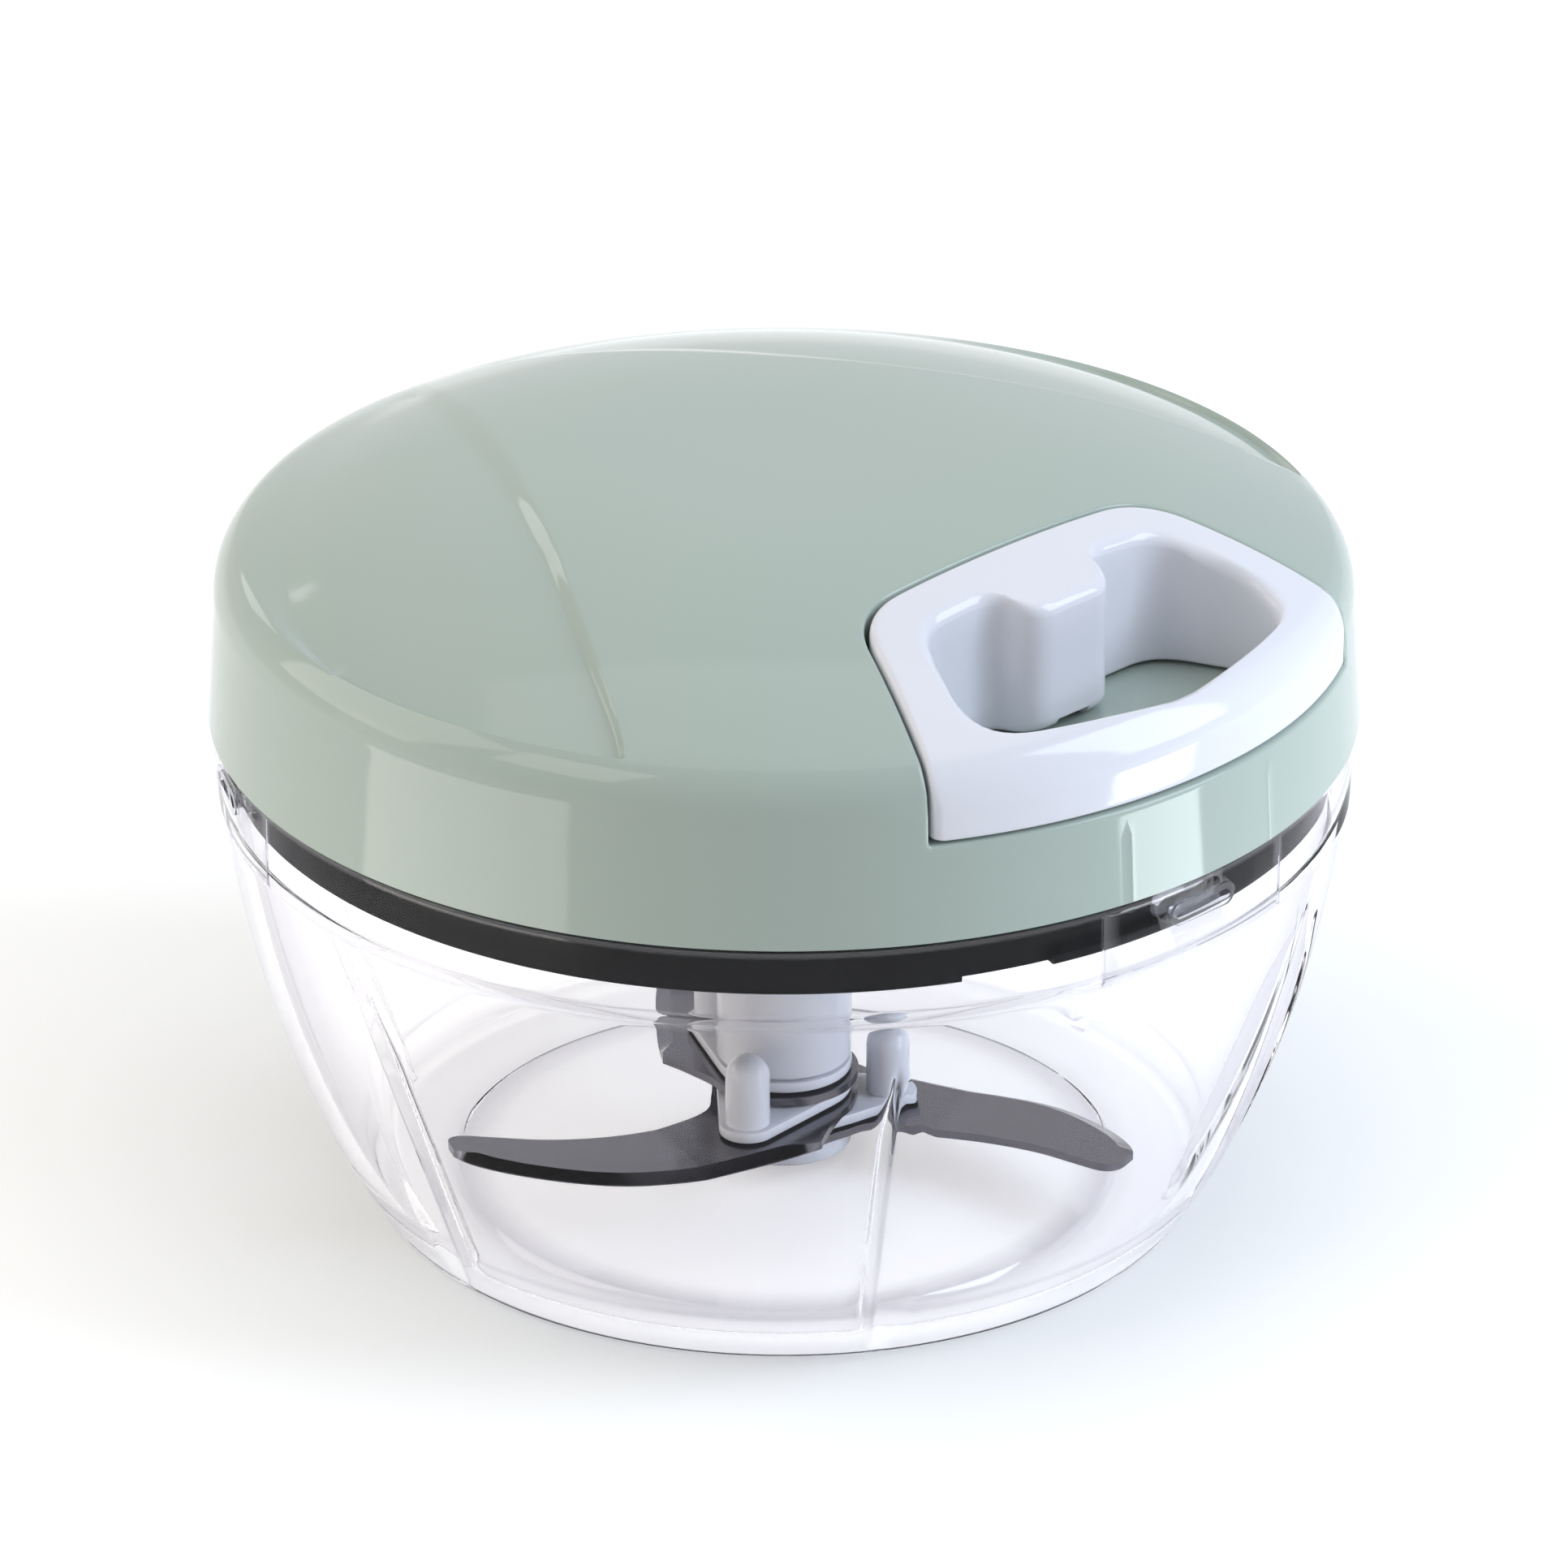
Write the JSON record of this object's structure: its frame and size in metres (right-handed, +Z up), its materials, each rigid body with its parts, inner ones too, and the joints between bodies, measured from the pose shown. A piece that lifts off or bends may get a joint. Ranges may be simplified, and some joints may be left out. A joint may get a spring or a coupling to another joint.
{
  "type": "manual food chopper",
  "caption": "Hand-pulled food chopper: pleated clear bowl, domed bayonet lid with a docked pull handle and cord reel, curved blades on an upright shaft.",
  "frame": {"origin": "centre of the bowl's foot, on the surface it stands on", "axes": "+Z up along the bowl's axis, -Y towards the docked pull handle"},
  "size_m": [0.122, 0.122, 0.084],
  "materials": {
    "clear_plastic": "clear, polished plastic",
    "sage_plastic": "glossy",
    "white_plastic": "glossy",
    "black_plastic": "glossy",
    "seal_rubber": "satin",
    "steel": "ground",
    "cord_nylon": "braided"
  },
  "bodies": {
    "bowl": {"bowl": "clear_plastic", "bowl_pivot_pin": "steel"},
    "lid": {"lid_cover": "sage_plastic", "lid_base": "black_plastic", "seal_ring": "seal_rubber", "lid_screw_1": "steel", "lid_screw_2": "steel", "lid_screw_3": "steel", "cord_guide": "steel", "cord_lead": "cord_nylon", "reel_axle": "steel", "axle_washer": "steel", "return_spring": "steel", "spring_cover": "white_plastic"},
    "handle": {"pull_handle": "white_plastic", "pull_cord": "cord_nylon", "cord_knot": "cord_nylon"},
    "reel": {"cord_reel": "white_plastic", "cord_winding": "cord_nylon", "drive_spindle": "white_plastic"},
    "blade_unit": {"blade_shaft": "white_plastic", "hub_foot": "white_plastic", "blade_1": "steel", "blade_2": "steel", "blade_3": "steel", "blade_seat_1": "white_plastic", "blade_seat_2": "white_plastic", "blade_seat_3": "white_plastic"}
  },
  "joints": [
    {"name": "lid_twist", "type": "hinge", "parent": "bowl", "child": "lid", "pos_m": [0, 0, 0.0557], "axis": [0, 0, 1], "range_deg": [0, 22]},
    {"name": "handle_pull", "type": "slide", "parent": "lid", "child": "handle", "axis": [0, -1, 0], "range_m": [0, 0.4], "stiffness_N_per_m": 12, "springref_m": -0.15},
    {"name": "reel_spin", "type": "hinge", "parent": "lid", "child": "reel", "pos_m": [0, 0, 0.0704], "axis": [0, 0, 1], "range_deg": [0, 1425]},
    {"name": "blade_spin", "type": "hinge", "parent": "lid", "child": "blade_unit", "pos_m": [0, 0, 0.0027], "axis": [0, 0, 1], "range_deg": [0, 1425]}
  ],
  "couplings": [
    {"joint": "reel_spin", "follows": "handle_pull", "rad_per_m": 62},
    {"joint": "blade_spin", "follows": "handle_pull", "rad_per_m": 62}
  ]
}
